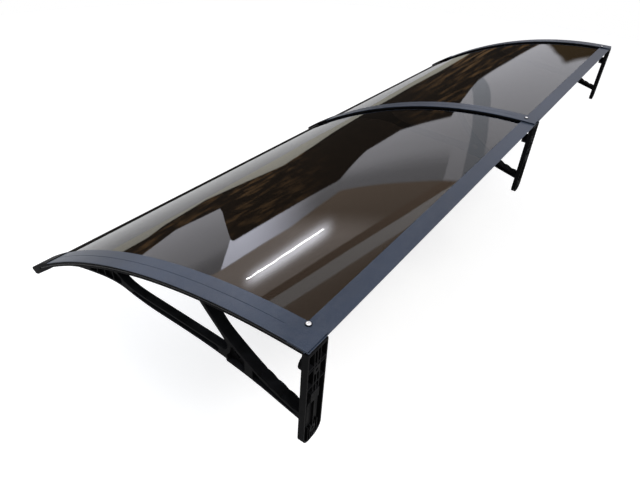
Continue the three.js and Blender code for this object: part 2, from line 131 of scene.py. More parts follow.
class CanopyColours(bpy.types.PropertyGroup):
    """Base colours of the finishes."""

    coating: FloatVectorProperty(
        name="Powder coat", description="Dark blue-grey coat of strips and wall bars",
        subtype="COLOR", size=3, min=0.0, max=1.0, default=(0.036, 0.052, 0.086),
    )
    plastic: FloatVectorProperty(
        name="Moulded plastic", description="Black plastic of brackets and nose caps",
        subtype="COLOR", size=3, min=0.0, max=1.0, default=(0.003, 0.003, 0.0033),
    )
    front_bar: FloatVectorProperty(
        name="Front bar", description="Black anodised front bars",
        subtype="COLOR", size=3, min=0.0, max=1.0, default=(0.006, 0.006, 0.0065),
    )
    rubber: FloatVectorProperty(
        name="Rubber", description="Seals and washers",
        subtype="COLOR", size=3, min=0.0, max=1.0, default=(0.0045, 0.0045, 0.005),
    )
    zinc: FloatVectorProperty(
        name="Zinc", description="Bright plated screws",
        subtype="COLOR", size=3, min=0.0, max=1.0, default=(0.88, 0.89, 0.92),
    )


# Node building


def node(tree, kind, inputs=None, **settings):
    """A node of a tree with its settings and input values; an input may be a socket to link."""
    made = tree.nodes.new(kind)
    for key, value in settings.items():
        setattr(made, key, value)
    for key, value in (inputs or {}).items():
        if isinstance(value, bpy.types.NodeSocket):
            tree.links.new(value, made.inputs[key])
        else:
            made.inputs[key].default_value = value
    return made


def math_node(tree, operation, *values):
    return node(tree, "ShaderNodeMath", dict(enumerate(values)), operation=operation).outputs[0]


def ramp(tree, factor, *stops):
    """A ramp in straight lines through stops of (position, value or colour)."""
    made = node(tree, "ShaderNodeValToRGB", {0: factor})
    elements = made.color_ramp.elements
    while len(elements) > 1:
        elements.remove(elements[-1])
    for i, (position, value) in enumerate(stops):
        element = elements[0] if i == 0 else elements.new(position)
        element.position = position
        colour = (value, value, value) if isinstance(value, (int, float)) else value
        element.color = (*colour, 1.0)
    return made.outputs[0]


def mix_colour(tree, factor, first, second, blend="MIX"):
    """Two colours, each a socket or three numbers, mixed by a socket."""
    colours = [value if isinstance(value, bpy.types.NodeSocket) else (*value[:3], 1.0)
               for value in (first, second)]
    inputs = {0: factor, 6: colours[0], 7: colours[1]}
    return node(tree, "ShaderNodeMix", inputs, data_type="RGBA", blend_type=blend).outputs[2]


def map_range(tree, value, low, high, to_low, to_high, interpolation="LINEAR"):
    """A value taken from one range to another and held at its ends."""
    return node(tree, "ShaderNodeMapRange", {
        "Value": value, "From Min": low, "From Max": high, "To Min": to_low, "To Max": to_high,
    }, interpolation_type=interpolation).outputs[0]


def surface_normal(tree):
    """The surface's direction as its X, Y and Z."""
    normal = node(tree, "ShaderNodeNewGeometry").outputs["Normal"]
    return node(tree, "ShaderNodeSeparateXYZ", {0: normal}).outputs


def object_point(tree, scale=(1.0, 1.0, 1.0)):
    coordinates = node(tree, "ShaderNodeTexCoord").outputs["Object"]
    return node(tree, "ShaderNodeMapping", {"Vector": coordinates, "Scale": scale}).outputs[0]


def noise(tree, vector, scale, detail=3.0, roughness=0.55, distortion=0.0):
    made = node(tree, "ShaderNodeTexNoise", {
        "Vector": vector, "Scale": scale, "Detail": detail,
        "Roughness": roughness, "Distortion": distortion,
    })
    return made.outputs["Fac"]


def bump(tree, height, strength, distance, normal=None):
    inputs = {"Height": height, "Strength": strength, "Distance": distance}
    if normal is not None:
        inputs["Normal"] = normal
    return node(tree, "ShaderNodeBump", inputs).outputs[0]


def new_material(name, preview):
    material = bpy.data.materials.new(name)
    material.use_nodes = True
    material.diffuse_color = (*preview, 1.0)
    tree = material.node_tree
    tree.nodes.clear()
    output = node(tree, "ShaderNodeOutputMaterial")
    shader = node(tree, "ShaderNodeBsdfPrincipled")
    tree.links.new(shader.outputs[0], output.inputs[0])
    return material, tree, shader, output


def shade(tree, shader, **values):
    """Sets or links the shader's inputs, with _ for the spaces in their names."""
    for key, value in values.items():
        socket = shader.inputs[key.replace("_", " ")]
        if isinstance(value, bpy.types.NodeSocket):
            tree.links.new(value, socket)
        else:
            socket.default_value = value


def tinted(colour, factor):
    return tuple(min(1.0, channel * factor) for channel in colour[:3])


# Finishes

COAT_DUST = (0.12, 0.13, 0.15)
COAT_SPARKLE = (0.4, 0.44, 0.52)
COAT_SPECULAR = 0.4
PLASTIC_SCUFF = (0.014, 0.014, 0.016)
# Lighter, bluish tone for the plastic's upward faces: painted top light
PLASTIC_TOP_LIGHT = (0.015, 0.016, 0.019)
PLASTIC_SPECULAR = 0.03
RUBBER_BLOOM = (0.014, 0.014, 0.015)
RUBBER_SPECULAR = 0.05
CLEAR_TONE = (0.93, 0.93, 0.93)
SAWN_TONE = (0.006, 0.006, 0.006)
SAWN_ROUGHNESS = 0.6
SHEET_IOR = 1.585
SMOKE = (0.2, 0.13, 0.06, 1.0)
SMOKE_DENSITY = 1600.0


def coated_aluminium(colour):
    """Satin blue-grey powder coat: orange peel, fine sparkle, thin dust and rubbed patches."""
    material, tree, shader, _ = new_material("Blue-grey powder coat", colour)
    point = object_point(tree)
    along = object_point(tree, (0.35, 1.0, 1.0))
    clouds = noise(tree, along, 9.0, 4.0, 0.6)
    patches = noise(tree, point, 38.0, 5.0, 0.65, 0.4)
    peel = noise(tree, point, 620.0, 2.0, 0.5)
    sparkle = node(tree, "ShaderNodeTexVoronoi", {"Vector": point, "Scale": 2600.0}).outputs["Color"]
    glint = ramp(tree, node(tree, "ShaderNodeSeparateColor", {0: sparkle}).outputs[0],
                 (0.0, 0.0), (0.9, 0.0), (0.97, 1.0))
    tone = mix_colour(tree, ramp(tree, clouds, (0.3, 0.0), (0.72, 1.0)),
                      tinted(colour, 0.88), tinted(colour, 1.14))
    dust = ramp(tree, patches, (0.45, 0.0), (0.85, 0.22))
    overlaid = mix_colour(tree, dust, tone, COAT_DUST)
    sparkling = mix_colour(tree, math_node(tree, "MULTIPLY", glint, 0.22), overlaid, COAT_SPARKLE)
    rough = map_range(tree, patches, 0.25, 0.75, 0.3, 0.36)
    shade(tree, shader, Base_Color=sparkling, Roughness=rough, Metallic=0.3,
          Normal=bump(tree, peel, 0.12, 0.0004))
    shader.inputs["Specular IOR Level"].default_value = COAT_SPECULAR
    return material


def moulded_plastic(colour):
    """Black moulded plastic: fine spark-eroded grain, faint flow clouds, scuffs, and upward faces painted
    lighter and bluer as painted top light.
    """
    material, tree, shader, _ = new_material("Black moulded plastic", colour)
    point = object_point(tree)
    grain = noise(tree, point, 1500.0, 2.0, 0.6)
    flow = noise(tree, point, 22.0, 4.0, 0.6, 0.8)
    scuffs = noise(tree, object_point(tree, (1.0, 0.2, 0.2)), 260.0, 3.0, 0.7)
    scuff_mask = ramp(tree, scuffs, (0.62, 0.0), (0.74, 1.0))
    # Upward faces painted lighter and bluer, unevenly by the flow clouds: painted top light, not dust
    upward = surface_normal(tree)[2]
    painted_top_light = math_node(tree, "MULTIPLY", ramp(tree, upward, (0.35, 0.0), (0.95, 1.0)),
                        ramp(tree, flow, (0.35, 0.1), (0.7, 0.5)))
    tone = mix_colour(tree, ramp(tree, flow, (0.3, 0.0), (0.7, 1.0)),
                      tinted(colour, 0.8), tinted(colour, 1.35))
    scuffed = mix_colour(tree, math_node(tree, "MULTIPLY", scuff_mask, 0.3), tone, PLASTIC_SCUFF)
    overlaid = mix_colour(tree, painted_top_light, scuffed, PLASTIC_TOP_LIGHT)
    rough = map_range(tree, flow, 0.3, 0.7, 0.46, 0.6)
    fine = bump(tree, grain, 0.25, 0.00025)
    shade(tree, shader, Base_Color=overlaid, Roughness=rough,
          Normal=bump(tree, flow, 0.08, 0.001, fine))
    shader.inputs["Specular IOR Level"].default_value = PLASTIC_SPECULAR
    return material


def black_aluminium(colour):
    """Black anodised extrusion: fine drawing lines along X and satin sheen."""
    material, tree, shader, _ = new_material("Black anodised aluminium", colour)
    lines = noise(tree, object_point(tree, (0.02, 1.0, 1.0)), 1400.0, 2.0, 0.6)
    clouds = noise(tree, object_point(tree), 14.0, 3.0, 0.5)
    tone = mix_colour(tree, ramp(tree, clouds, (0.3, 0.0), (0.75, 1.0)),
                      tinted(colour, 0.8), tinted(colour, 1.6))
    lined = mix_colour(tree, ramp(tree, lines, (0.45, 0.0), (0.7, 0.4)), tone, tinted(colour, 2.6))
    rough = map_range(tree, lines, 0.3, 0.7, 0.28, 0.44)
    shade(tree, shader, Base_Color=lined, Roughness=rough, Metallic=0.4,
          Normal=bump(tree, lines, 0.1, 0.0002))
    return material


def smoked_sheet():
    """Smoked bronze polycarbonate: tint by depth, a long faint wave, hairline scratches and haze.

    The sawn faces at the sheet's two ends along X are dark and matt."""
    material, tree, shader, output = new_material("Smoked polycarbonate", (0.08, 0.06, 0.045))
    point = object_point(tree)
    wave = noise(tree, object_point(tree, (0.55, 1.0, 1.0)), 3.2, 1.0, 0.4)
    haze = noise(tree, point, 26.0, 5.0, 0.65, 0.5)
    hairs = noise(tree, object_point(tree, (0.05, 1.0, 1.0)), 900.0, 2.0, 0.6)
    marks = ramp(tree, hairs, (0.66, 0.0), (0.72, 1.0))
    film = map_range(tree, haze, 0.35, 0.75, 0.004, 0.022)
    polished = math_node(tree, "ADD", film, math_node(tree, "MULTIPLY", marks, 0.03))
    sideways = math_node(tree, "ABSOLUTE", surface_normal(tree)[0])
    sawn = ramp(tree, sideways, (0.25, 0.0), (0.45, 1.0))
    rough = math_node(tree, "MAXIMUM", polished, math_node(tree, "MULTIPLY", sawn, SAWN_ROUGHNESS))
    shade(tree, shader, Base_Color=mix_colour(tree, sawn, CLEAR_TONE, SAWN_TONE), Roughness=rough,
          IOR=SHEET_IOR, Normal=bump(tree, wave, 0.35, 0.004))
    shader.inputs["Transmission Weight"].default_value = 1.0
    tint = node(tree, "ShaderNodeVolumeAbsorption", {"Color": SMOKE, "Density": SMOKE_DENSITY})
    tree.links.new(tint.outputs[0], output.inputs["Volume"])
    return material


def rubber(colour):
    """Matt extruded rubber with a chalky bloom."""
    material, tree, shader, _ = new_material("Black rubber", colour)
    bloom = noise(tree, object_point(tree), 120.0, 4.0, 0.7)
    grain = noise(tree, object_point(tree), 1800.0, 2.0, 0.5)
    tone = mix_colour(tree, ramp(tree, bloom, (0.45, 0.0), (0.8, 0.5)), colour, RUBBER_BLOOM)
    rough = map_range(tree, bloom, 0.3, 0.7, 0.6, 0.82)
    shade(tree, shader, Base_Color=tone, Roughness=rough, Normal=bump(tree, grain, 0.2, 0.0002))
    shader.inputs["Specular IOR Level"].default_value = RUBBER_SPECULAR
    return material


def zinc(colour):
    """Bright zinc plate with faint spangle and driver marks."""
    material, tree, shader, _ = new_material("Bright zinc", colour)
    spangle = node(tree, "ShaderNodeTexVoronoi", {
        "Vector": object_point(tree), "Scale": 900.0,
    }).outputs["Distance"]
    marks = noise(tree, object_point(tree), 2400.0, 3.0, 0.7)
    tone = mix_colour(tree, ramp(tree, spangle, (0.1, 0.0), (0.8, 1.0)),
                      tinted(colour, 0.86), tinted(colour, 1.08))
    rough = map_range(tree, marks, 0.3, 0.7, 0.26, 0.42)
    shade(tree, shader, Base_Color=tone, Roughness=rough, Metallic=0.5,
          Normal=bump(tree, marks, 0.15, 0.0001))
    return material


def shared_finish(name, make, *colour):
    """One material per finish, made the first time it is asked for."""
    return bpy.data.materials.get(name) or make(*colour)


# Meshes


def link(mesh, name):
    piece = bpy.data.objects.new(name, mesh)
    bpy.context.collection.objects.link(piece)
    return piece


def put_on(piece, slot, *nodes):
    """Hangs the piece on the body it rides on and hides the CAD nodes it stands for; the slot is not used.
    """
    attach(piece, BODY)
    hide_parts(*nodes)


def dress(piece, material, smooth_angle=35.0):
    """The material, smooth faces up to an angle, and normals that follow the large faces."""
    mesh = piece.data
    mesh.materials.clear()
    mesh.materials.append(material)
    mesh.shade_smooth()
    mesh.set_sharp_from_angle(angle=math.radians(smooth_angle))
    weighted = piece.modifiers.new("Normals by area", "WEIGHTED_NORMAL")
    weighted.keep_sharp = True
    apply_modifiers(piece)


def round_edges(piece, radius, angle=None):
    """Rounds the weighted edges, or the edges sharper than an angle."""
    bevel = piece.modifiers.new("Rounded edges", "BEVEL")
    bevel.width = radius
    bevel.segments = EDGE_SEGMENTS
    bevel.limit_method = "WEIGHT" if angle is None else "ANGLE"
    if angle is not None:
        bevel.angle_limit = math.radians(angle)
    apply_modifiers(piece)


def apply_modifiers(piece):
    """The evaluated shape becomes the piece's plain mesh."""
    graph = bpy.context.evaluated_depsgraph_get()
    made = bpy.data.meshes.new_from_object(piece.evaluated_get(graph))
    piece.modifiers.clear()
    old = piece.data
    piece.data = made
    made.name = piece.name
    if old.users == 0:
        bpy.data.meshes.remove(old)


MERGE_DISTANCE = 0.02 * MM
WALL_MARGIN = 0.2 * MM
FLAT_ANGLE = math.radians(0.3)
SHARP_ANGLE = math.radians(30.0)


def copy_of_node(name, piece_name):
    """A merged copy of a CAD node's mesh: flat areas become single faces and sharp edges get bevel weights.

    What lies on the wall stays as it is, because its large faces have holes."""
    source = bmesh.new()
    source.from_mesh(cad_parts[name].data)
    bmesh.ops.remove_doubles(source, verts=source.verts, dist=MERGE_DISTANCE)
    free = {vert for vert in source.verts if abs(vert.co.y) > WALL_MARGIN}
    bmesh.ops.dissolve_limit(
        source, angle_limit=FLAT_ANGLE, verts=list(free),
        edges=[edge for edge in source.edges if edge.verts[0] in free or edge.verts[1] in free],
    )
    weights = source.edges.layers.float.new("bevel_weight_edge")
    for edge in source.edges:
        on_wall = all(abs(vert.co.y) <= WALL_MARGIN for vert in edge.verts)
        if edge.is_manifold and not on_wall and edge.calc_face_angle() > SHARP_ANGLE:
            edge[weights] = 1.0
    mesh = bpy.data.meshes.new(piece_name)
    source.to_mesh(mesh)
    source.free()
    return link(mesh, piece_name)


def along_arch(sizes, out, offset=0.0):
    """Length along the strips' top face down to a point that far out, on a layer offset from that face."""
    if out <= sizes.crown:
        return out
    angle = math.asin((out - sizes.crown) / (sizes.radius + offset))
    return sizes.crown + sizes.radius * angle


def straight_bar(name, ring, lengths):
    """A closed bar along Y, its section given for each length; it is bent to the arch later."""
    made = bmesh.new()
    rings = [[made.verts.new((x, -length, z)) for x, z in ring(length)] for length in lengths]
    for first, second in zip(rings, rings[1:]):
        count = len(first)
        for i in range(count):
            j = (i + 1) % count
            made.faces.new((first[i], first[j], second[j], second[i]))
    made.faces.new(rings[0][::-1])
    made.faces.new(rings[-1])
    bmesh.ops.recalc_face_normals(made, faces=made.faces)
    mesh = bpy.data.meshes.new(name)
    made.to_mesh(mesh)
    made.free()
    return link(mesh, name)


def evenly_spaced(start, end, count):
    return [start + (end - start) * i / count for i in range(count + 1)]


def strip_section(half, low, sunk):
    """The strip's outline across: broken lower edges, rounded upper edges and a groove sunk that deep."""
    outer = [(half - 0.1 * MM, low), (half, low + 0.1 * MM), (half, -0.45 * MM),
             (half - 0.12 * MM, -0.15 * MM), (half - 0.45 * MM, 0.0)]
    groove = [(GROOVE_HALF + 0.25 * MM, 0.0), (GROOVE_HALF, -0.2 * sunk), (GROOVE_HALF, -sunk)]
    right = outer + groove
    left = [(-x, z) for x, z in reversed(right)]
    return right + left


def seal_section(low_x, high_x, top, bottom):
    """A seal's outline across, its lower edges cut to a lip."""
    return [(low_x, top), (low_x, bottom + SEAL_LIP), (low_x + SEAL_LIP, bottom),
            (high_x - SEAL_LIP, bottom), (high_x, bottom + SEAL_LIP), (high_x, top)]


# Geometry Nodes


def tree_with(name, *inputs):
    """A geometry tree with the named inputs and a material input, and its input and output nodes."""
    tree = bpy.data.node_groups.new(name, "GeometryNodeTree")
    face = tree.interface
    face.new_socket("Geometry", in_out="INPUT", socket_type="NodeSocketGeometry")
    for label, kind in inputs:
        face.new_socket(label, in_out="INPUT", socket_type=kind)
    face.new_socket("Material", in_out="INPUT", socket_type="NodeSocketMaterial")
    face.new_socket("Geometry", in_out="OUTPUT", socket_type="NodeSocketGeometry")
    entry = node(tree, "NodeGroupInput")
    leave = node(tree, "NodeGroupOutput")
    return tree, entry, leave


ARCH_INPUTS = (
    ("Radius", "NodeSocketFloat"), ("Crown", "NodeSocketFloat"), ("Top", "NodeSocketFloat"),
)


def bend(tree, entry, geometry):
    """Moves straight geometry (x, -length, offset) onto the arch: level to the crown, then one arc."""
    x, y, z = node(tree, "ShaderNodeSeparateXYZ", {
        0: node(tree, "GeometryNodeInputPosition").outputs[0],
    }).outputs
    radius, crown, top = (entry.outputs[label] for label in ("Radius", "Crown", "Top"))
    past = math_node(tree, "SUBTRACT", math_node(tree, "MULTIPLY", y, -1.0), crown)
    angle = math_node(tree, "DIVIDE", math_node(tree, "MAXIMUM", past, 0.0), radius)
    level = math_node(tree, "MINIMUM", past, 0.0)
    reach = math_node(tree, "ADD", radius, z)
    arc = math_node(tree, "MULTIPLY", reach, math_node(tree, "SINE", angle))
    out = math_node(tree, "ADD", math_node(tree, "ADD", crown, level), arc)
    fall = math_node(tree, "SUBTRACT", 1.0, math_node(tree, "COSINE", angle))
    height = math_node(tree, "SUBTRACT", math_node(tree, "ADD", top, z),
                       math_node(tree, "MULTIPLY", reach, fall))
    place = node(tree, "ShaderNodeCombineXYZ", {
        0: x, 1: math_node(tree, "MULTIPLY", out, -1.0), 2: height,
    }).outputs[0]
    return node(tree, "GeometryNodeSetPosition", {"Geometry": geometry, "Position": place}).outputs[0]


def close_tree(tree, entry, leave, geometry):
    """Ends a tree with real geometry that carries the material."""
    real = node(tree, "GeometryNodeRealizeInstances", {0: geometry}).outputs[0]
    coloured = node(tree, "GeometryNodeSetMaterial", {
        "Geometry": real, "Material": entry.outputs["Material"],
    }).outputs[0]
    tree.links.new(coloured, leave.inputs[0])
    return tree


def bend_tree():
    made = bpy.data.node_groups.get("Bend along the arch")
    if made:
        return made
    tree, entry, leave = tree_with("Bend along the arch", *ARCH_INPUTS)
    return close_tree(tree, entry, leave, bend(tree, entry, entry.outputs["Geometry"]))


SHEET_COLUMNS = 8


def sheet_tree():
    """A flat sheet of the given size as a fine grid, then bent along the arch."""
    tree, entry, leave = tree_with(
        "Arched sheet", *ARCH_INPUTS,
        ("Left end", "NodeSocketFloat"), ("Right end", "NodeSocketFloat"),
        ("Wall end", "NodeSocketFloat"), ("Front end", "NodeSocketFloat"),
        ("Drop", "NodeSocketFloat"), ("Thickness", "NodeSocketFloat"), ("Steps", "NodeSocketInt"),
    )
    inputs = entry.outputs
    width = math_node(tree, "SUBTRACT", inputs["Right end"], inputs["Left end"])
    length = math_node(tree, "SUBTRACT", inputs["Front end"], inputs["Wall end"])
    size = node(tree, "ShaderNodeCombineXYZ", {0: width, 1: length, 2: inputs["Thickness"]}).outputs[0]
    flat = node(tree, "GeometryNodeMeshCube", {
        "Size": size, "Vertices X": SHEET_COLUMNS, "Vertices Y": inputs["Steps"], "Vertices Z": 2,
    }).outputs["Mesh"]

    def middle(first, second):
        return math_node(tree, "MULTIPLY", math_node(tree, "ADD", first, second), 0.5)

    depth = math_node(tree, "ADD", inputs["Drop"], math_node(tree, "MULTIPLY", inputs["Thickness"], 0.5))
    centre = node(tree, "ShaderNodeCombineXYZ", {
        0: middle(inputs["Left end"], inputs["Right end"]),
        1: math_node(tree, "MULTIPLY", middle(inputs["Wall end"], inputs["Front end"]), -1.0),
        2: math_node(tree, "MULTIPLY", depth, -1.0),
    }).outputs[0]
    placed = node(tree, "GeometryNodeTransform", {"Geometry": flat, "Translation": centre}).outputs[0]
    return close_tree(tree, entry, leave, bend(tree, entry, placed))


def copies_tree():
    """A copy of the prototype on every point of the piece's own mesh."""
    made = bpy.data.node_groups.get("Copies on points")
    if made:
        return made
    tree, entry, leave = tree_with("Copies on points", ("Prototype", "NodeSocketObject"))
    shape = node(tree, "GeometryNodeObjectInfo", {"Object": entry.outputs["Prototype"]}).outputs["Geometry"]
    points = node(tree, "GeometryNodeMeshToPoints", {"Mesh": entry.outputs["Geometry"]}).outputs[0]
    copies = node(tree, "GeometryNodeInstanceOnPoints", {"Points": points, "Instance": shape}).outputs[0]
    return close_tree(tree, entry, leave, copies)


def grow(piece, tree, **values):
    """Runs a tree on a piece, its inputs set by socket identifier, and keeps the result as a mesh."""
    modifier = piece.modifiers.new(tree.name, "NODES")
    modifier.node_group = tree
    for item in tree.interface.items_tree:
        key = item.name.replace(" ", "_").lower()
        if item.in_out == "INPUT" and key in values:
            modifier[item.identifier] = values[key]
    apply_modifiers(piece)


def arch_values(sizes):
    return {"radius": sizes.radius, "crown": sizes.crown, "top": sizes.top}


def place_x(sizes, side):
    """Where a bracket's centre is along X."""
    return sizes.pitch * (SIDES.index(side) - 1)


# Operators


class CanopyOperator:
    """Shared parts of the operators."""

    bl_options = {"REGISTER", "UNDO"}

    def settings(self, context):
        return context.scene.canopy_sizes, context.scene.canopy_colours


class CANOPY_OT_sheets(CanopyOperator, bpy.types.Operator):
    """Make the two smoked sheets, bent to the arch"""

    bl_idname = "canopy.sheets"
    bl_label = "Smoked sheets"

    def execute(self, context):
        sizes, _ = self.settings(context)
        material = shared_finish("Smoked polycarbonate", smoked_sheet)
        tree = sheet_tree()
        for bay in BAYS:
            low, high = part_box(f"sheet_{bay}")
            wall_end = -high.y
            front_end = along_arch(sizes, -low.y, -sizes.sheet_drop)
            piece = link(bpy.data.meshes.new(f"smoked_sheet_{bay}"), f"smoked_sheet_{bay}")
            grow(piece, tree, material=material, left_end=low.x, right_end=high.x,
                 wall_end=wall_end, front_end=front_end, drop=sizes.sheet_drop,
                 thickness=sizes.sheet_thickness, steps=sizes.arc_steps + 1, **arch_values(sizes))
            round_edges(piece, SHEET_EDGE, angle=50.0)
            dress(piece, material)
            put_on(piece, "smoked_sheet", f"sheet_{bay}")
        return {"FINISHED"}


class CANOPY_OT_strips(CanopyOperator, bpy.types.Operator):
    """Make the three arched clamping strips with their centre groove"""

    bl_idname = "canopy.strips"
    bl_label = "Clamping strips"

    def execute(self, context):
        sizes, colours = self.settings(context)
        material = shared_finish("Blue-grey powder coat", coated_aluminium, colours.coating)
        for side in SIDES:
            low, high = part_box(f"clamping_strip_{side}")
            end = along_arch(sizes, -low.y)
            centre = place_x(sizes, side)

            def ring(length):
                sunk = GROOVE_DEPTH * min(1.0, max(0.0, (length - GROOVE_START) / GROOVE_RUN))
                section = strip_section(sizes.strip_width / 2, -sizes.strip_thickness, sunk)
                return [(centre + x, z) for x, z in section]

            lengths = sorted(evenly_spaced(-high.y, end, sizes.arc_steps)
                             + [GROOVE_START, GROOVE_START + GROOVE_RUN])
            piece = straight_bar(f"arched_strip_{side}", ring, lengths)
            grow(piece, bend_tree(), material=material, **arch_values(sizes))
            dress(piece, material, 50.0)
            put_on(piece, "coated_aluminium", f"clamping_strip_{side}")
        return {"FINISHED"}


class CANOPY_OT_edge_seals(CanopyOperator, bpy.types.Operator):
    """Make the rubber seals under both edges of each clamping strip"""

    bl_idname = "canopy.edge_seals"
    bl_label = "Edge seals"

    def execute(self, context):
        sizes, colours = self.settings(context)
        material = shared_finish("Black rubber", rubber, colours.rubber)
        top = -sizes.strip_thickness - SEAL_GAP
        deep = -sizes.sheet_drop + SEAL_GAP
        for side in SIDES:
            for half_name in ("a", "b"):
                node_name = f"edge_seal_{side}_{half_name}"
                low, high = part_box(node_name)
                end = along_arch(sizes, -low.y, top)

                def ring(length):
                    bottom = -THIN_SEAL if length < SEAL_STEP_AT else deep
                    return seal_section(low.x, high.x, top, bottom)

                lengths = sorted(evenly_spaced(-high.y, end, sizes.arc_steps)
                                 + [SEAL_STEP_AT - SEAL_STEP_RUN, SEAL_STEP_AT])
                piece = straight_bar(f"rubber_{node_name}", ring, lengths)
                grow(piece, bend_tree(), material=material, **arch_values(sizes))
                dress(piece, material, 40.0)
                put_on(piece, "rubber", node_name)
        return {"FINISHED"}


class CANOPY_OT_brackets(CanopyOperator, bpy.types.Operator):
    """Dress the moulded brackets and their nose caps, with rounded mould edges"""

    bl_idname = "canopy.brackets"
    bl_label = "Brackets and nose caps"

    def execute(self, context):
        _, colours = self.settings(context)
        material = shared_finish("Black moulded plastic", moulded_plastic, colours.plastic)
        for side in SIDES:
            for name, radius in (("bracket", BRACKET_EDGE), ("nose_cap", NOSE_CAP_EDGE)):
                piece = copy_of_node(f"{name}_{side}", f"moulded_{name}_{side}")
                round_edges(piece, radius)
                dress(piece, material)
                put_on(piece, "moulded_plastic", f"{name}_{side}")
        return {"FINISHED"}


class CANOPY_OT_bars(CanopyOperator, bpy.types.Operator):
    """Dress the wall bars and the front bars, with broken extrusion edges"""

    bl_idname = "canopy.bars"
    bl_label = "Wall bars and front bars"

    def execute(self, context):
        _, colours = self.settings(context)
        coat = shared_finish("Blue-grey powder coat", coated_aluminium, colours.coating)
        black = shared_finish("Black anodised aluminium", black_aluminium, colours.front_bar)
        for bay in BAYS:
            for name, material, slot in (
                ("wall_bar", coat, "coated_aluminium"), ("front_bar", black, "black_aluminium"),
            ):
                piece = copy_of_node(f"{name}_{bay}", f"extruded_{name}_{bay}")
                round_edges(piece, BAR_EDGE)
                dress(piece, material)
                put_on(piece, slot, f"{name}_{bay}")
        return {"FINISHED"}


# Turned outlines from the axis, as (radius, height over the strip) in millimetres
SCREW_PROFILE = (
    (0, -30), (0.6, -29), (2.1, -26), (2.1, 1.9), (5.1, 1.9), (5.45, 2.1), (5.6, 2.5),
    (5.5, 2.95), (5.1, 3.45), (4.3, 4.0), (3.2, 4.5), (1.8, 4.8), (0, 4.9),
)
WASHER_PROFILE = ((2.4, 0.3), (6.8, 0.3), (7.4, 0.55), (7.5, 0.9), (7.4, 1.3), (6.9, 1.6), (2.4, 1.6))
CROSS_HALF_LENGTH = 1.9 * MM
CROSS_HALF_WIDTH = 0.5 * MM
CROSS_TAPER = 0.55
CROSS_BOTTOM = 3.1 * MM
CROSS_TOP = 6.0 * MM


class CANOPY_OT_screws(CanopyOperator, bpy.types.Operator):
    """Set the pan head screws and their rubber washers at the brackets"""

    bl_idname = "canopy.screws"
    bl_label = "Screws and washers"

    def execute(self, context):
        sizes, colours = self.settings(context)
        steel = shared_finish("Bright zinc", zinc, colours.zinc)
        soft = shared_finish("Black rubber", rubber, colours.rubber)
        places = []
        for side in SIDES:
            low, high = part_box(f"screw_{side}")
            places.append(((low.x + high.x) / 2, -sizes.screw_out, sizes.top))
        screw = lathed("screw_prototype", SCREW_PROFILE)
        cut_cross(screw)
        washer = lathed("washer_prototype", WASHER_PROFILE, closed=True)
        for prototype, name, material, slot, node_name in (
            (screw, "pan_head_screws", steel, "steel", "screw"),
            (washer, "rubber_washers", soft, "rubber", "rubber_washer"),
        ):
            mesh = bpy.data.meshes.new(name)
            mesh.from_pydata(places, [], [])
            piece = link(mesh, name)
            grow(piece, copies_tree(), prototype=prototype, material=material)
            dress(piece, material, 40.0)
            put_on(piece, slot, *(f"{node_name}_{side}" for side in SIDES))
            bpy.data.objects.remove(prototype)
        return {"FINISHED"}


def lathed(name, profile, closed=False, segments=40):
    """A turned part about Z from (radius, height) points in millimetres."""
    made = bmesh.new()
    angles = [2 * math.pi * i / segments for i in range(segments)]
    rings = []
    for radius, height in profile:
        turns = angles if radius else angles[:1]
        rings.append([
            made.verts.new((radius * MM * math.cos(angle), radius * MM * math.sin(angle), height * MM))
            for angle in turns
        ])
    pairs = list(zip(rings, rings[1:])) + ([(rings[-1], rings[0])] if closed else [])
    for first, second in pairs:
        for i in range(segments):
            j = (i + 1) % segments
            corners = (first[i % len(first)], first[j % len(first)],
                       second[j % len(second)], second[i % len(second)])
            made.faces.new(list(dict.fromkeys(corners)))
    bmesh.ops.recalc_face_normals(made, faces=made.faces)
    mesh = bpy.data.meshes.new(name)
    made.to_mesh(mesh)
    made.free()
    return link(mesh, name)


def cut_cross(screw):
    """Cuts a tapered cross recess into the screw's head."""
    made = bmesh.new()
    for turn in (0.0, 90.0):
        matrix = Matrix.Rotation(math.radians(turn), 4, "Z")
        result = bmesh.ops.create_cube(made, size=1.0)
        for vertex in result["verts"]:
            upper = vertex.co.z > 0
            half_length = CROSS_HALF_LENGTH if upper else CROSS_HALF_LENGTH * CROSS_TAPER
            vertex.co = matrix @ Vector((
                math.copysign(half_length, vertex.co.x), math.copysign(CROSS_HALF_WIDTH, vertex.co.y),
                CROSS_TOP if upper else CROSS_BOTTOM,
            ))
    mesh = bpy.data.meshes.new("cross_tool")
    made.to_mesh(mesh)
    made.free()
    tool = link(mesh, "cross_tool")
    boolean = screw.modifiers.new("Cross recess", "BOOLEAN")
    boolean.operation = "DIFFERENCE"
    boolean.solver = "EXACT"
    boolean.use_self = True
    boolean.object = tool
    apply_modifiers(screw)
    bpy.data.objects.remove(tool)


class CANOPY_OT_wall_seals(CanopyOperator, bpy.types.Operator):
    """Give the seals behind the wall bars their rubber"""

    bl_idname = "canopy.wall_seals"
    bl_label = "Wall seals"

    def execute(self, context):
        _, colours = self.settings(context)
        material = shared_finish("Black rubber", rubber, colours.rubber)
        for bay in BAYS:
            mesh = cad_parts[f"wall_seal_{bay}"].data
            mesh.materials.clear()
            mesh.materials.append(material)
        return {"FINISHED"}


# Stage

FLOOR_HEIGHT = -0.75
FLOOR_RADIUS = 6.5
FLOOR_SEGMENTS = 96
FLOOR_GLOW = 0.45
FLOOR_PAINTS = ((0.76, 0.76, 0.76), (0.8, 0.8, 0.8))
# Fitted to the photograph's frame: metres, degrees and millimetres
CAMERA_PLACE = (1.97612, 0.35583, 0.85980)
CAMERA_TURN = (54.6315, -3.3237, 125.0742)
CAMERA_LENS = 29.419
SENSOR_WIDTH = 36.0


